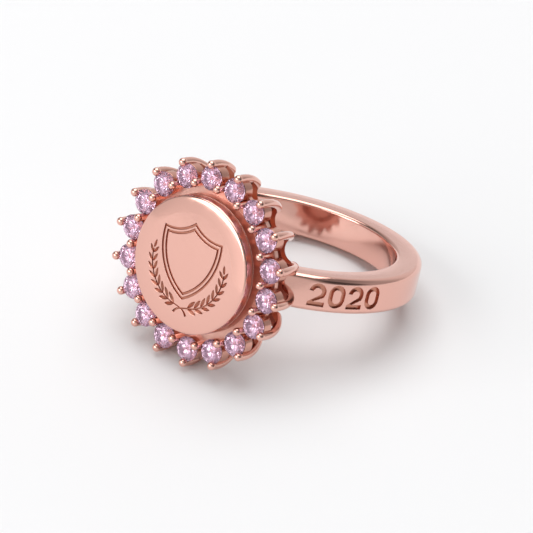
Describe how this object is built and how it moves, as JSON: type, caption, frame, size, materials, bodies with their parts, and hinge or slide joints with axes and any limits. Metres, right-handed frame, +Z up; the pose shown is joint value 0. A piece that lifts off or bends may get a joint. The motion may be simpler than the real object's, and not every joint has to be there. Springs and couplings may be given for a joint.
{
  "type": "class ring",
  "caption": "Halo signet ring: a domed round plate with cut shield and laurel in a ring of round pink stones on prongs, over a scalloped basket and a plain shank.",
  "frame": {"origin": "middle of the ring's box on the ground it lies on", "axes": "Z up from the ground, Y from the signet at the front (-Y) to the back of the shank, X across the signet; the ring lies on its side as it rests by itself, on two prongs and the back of the shank"},
  "size_m": [0.0216, 0.0246, 0.0161],
  "materials": {
    "rose_gold": "polished",
    "pink_stone": "polished"
  },
  "bodies": {
    "root": {"mounting": "rose_gold", "signet_plate": "rose_gold", "stone_01": "pink_stone", "stone_02": "pink_stone", "stone_03": "pink_stone", "stone_04": "pink_stone", "stone_05": "pink_stone", "stone_06": "pink_stone", "stone_07": "pink_stone", "stone_08": "pink_stone", "stone_09": "pink_stone", "stone_10": "pink_stone", "stone_11": "pink_stone", "stone_12": "pink_stone", "stone_13": "pink_stone", "stone_14": "pink_stone", "stone_15": "pink_stone", "stone_16": "pink_stone", "stone_17": "pink_stone", "stone_18": "pink_stone"}
  },
  "joints": []
}
